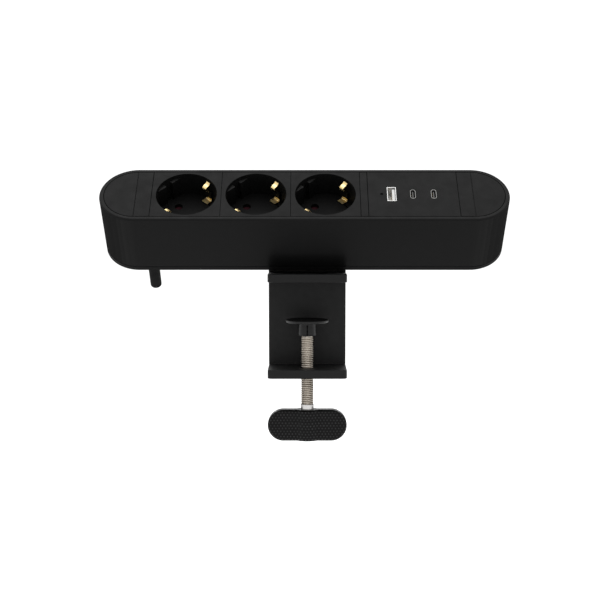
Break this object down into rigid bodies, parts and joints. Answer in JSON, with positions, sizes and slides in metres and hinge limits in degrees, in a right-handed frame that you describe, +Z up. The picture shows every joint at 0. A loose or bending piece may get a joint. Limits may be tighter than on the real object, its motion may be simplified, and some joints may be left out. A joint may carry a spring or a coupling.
{
  "type": "desk power strip",
  "caption": "Slanted desk-edge power strip with round ends, earthed sockets, USB charging ports and a C-clamp with a hand screw.",
  "frame": {"origin": "centre of the upper jaw's underside, which rests on the desk's top, on the clamp's centre line", "axes": "+Z up, -Y towards the person at the desk, +X to that person's right along the strip"},
  "size_m": [0.266, 0.0784, 0.1803],
  "materials": {
    "housing": "fine satin moulded black",
    "cover": "satin moulded black",
    "insert_plastic": "fine satin moulded black",
    "shutter_plastic": "satin dark red",
    "contact_brass": "rolled strip",
    "carrier_plastic": "moulded off-white",
    "usb_shell": "plated sheet steel",
    "usb_a_insulator": "white moulded",
    "usb_c_insulator": "black moulded",
    "light_pipe": "clear smoke, unlit",
    "circuit_board": "green solder mask",
    "component_black": "moulded black",
    "cord_jacket": "matt black jacket",
    "gland_rubber": "matt black",
    "clamp_plastic": "black moulded",
    "lead_brown": "brown insulation",
    "lead_blue": "blue insulation",
    "lead_green": "green and yellow insulation",
    "screw_steel": "zinc plated",
    "clamp_coating": "satin black powder coat",
    "pad_plastic": "black moulded",
    "spindle_steel": "plated screw thread with a bright shank",
    "knob_plastic": "black moulded with small raised dots"
  },
  "bodies": {
    "root": {"housing_sleeve": "housing", "bottom_cover": "cover", "end_cap_left": "insert_plastic", "end_cap_right": "insert_plastic", "filler_plate_left": "insert_plastic", "filler_plate_right": "insert_plastic", "spacer_bar": "insert_plastic", "usb_faceplate": "insert_plastic", "socket_insert_1": "insert_plastic", "socket_insert_2": "insert_plastic", "socket_insert_3": "insert_plastic", "earth_contact_1": "contact_brass", "earth_contact_2": "contact_brass", "earth_contact_3": "contact_brass", "live_busbar": "contact_brass", "neutral_busbar": "contact_brass", "earth_rail": "contact_brass", "busbar_carrier": "carrier_plastic", "usb_a_shell": "usb_shell", "usb_c_shell_1": "usb_shell", "usb_c_shell_2": "usb_shell", "usb_a_tongue": "usb_a_insulator", "usb_c_tongue_1": "usb_c_insulator", "usb_c_tongue_2": "usb_c_insulator", "led_light_pipe": "light_pipe", "usb_circuit_board": "circuit_board", "charger_transformer": "component_black", "charger_capacitor_1": "component_black", "charger_capacitor_2": "component_black", "power_cord": "cord_jacket", "cable_gland": "gland_rubber", "cord_clamp": "clamp_plastic", "live_lead": "lead_brown", "neutral_lead": "lead_blue", "earth_lead": "lead_green", "cover_screw_left": "screw_steel", "cover_screw_right": "screw_steel", "bracket_screw_1": "screw_steel", "bracket_screw_2": "screw_steel", "bracket_backing_plate": "screw_steel", "clamp_bracket": "clamp_coating"},
    "pad": {"pressure_pad": "pad_plastic"},
    "spindle": {"clamp_spindle": "spindle_steel", "knob": "knob_plastic"},
    "shutter_1": {"shutter_1": "shutter_plastic"},
    "shutter_2": {"shutter_2": "shutter_plastic"},
    "shutter_3": {"shutter_3": "shutter_plastic"}
  },
  "joints": [
    {"name": "pad_lift", "type": "slide", "parent": "root", "child": "pad", "axis": [0, 0, 1], "range_m": [-0.02, 0.01875]},
    {"name": "spindle_turn", "type": "hinge", "parent": "pad", "child": "spindle", "pos_m": [0, -0.002, -0.05], "axis": [0, 0, 1], "range_deg": [-5770, 5410]},
    {"name": "shutter_1_slide", "type": "slide", "parent": "root", "child": "shutter_1", "axis": [-0.7071, 0.5171, 0.4822], "range_m": [0, 0.0055], "stiffness_N_per_m": 60, "springref_m": -0.003},
    {"name": "shutter_2_slide", "type": "slide", "parent": "root", "child": "shutter_2", "axis": [-0.7071, 0.5171, 0.4822], "range_m": [0, 0.0055], "stiffness_N_per_m": 60, "springref_m": -0.003},
    {"name": "shutter_3_slide", "type": "slide", "parent": "root", "child": "shutter_3", "axis": [-0.7071, 0.5171, 0.4822], "range_m": [0, 0.0055], "stiffness_N_per_m": 60, "springref_m": -0.003}
  ],
  "couplings": [
    {"joint": "spindle_turn", "follows": "pad_lift", "rad_per_m": 5026.5}
  ]
}
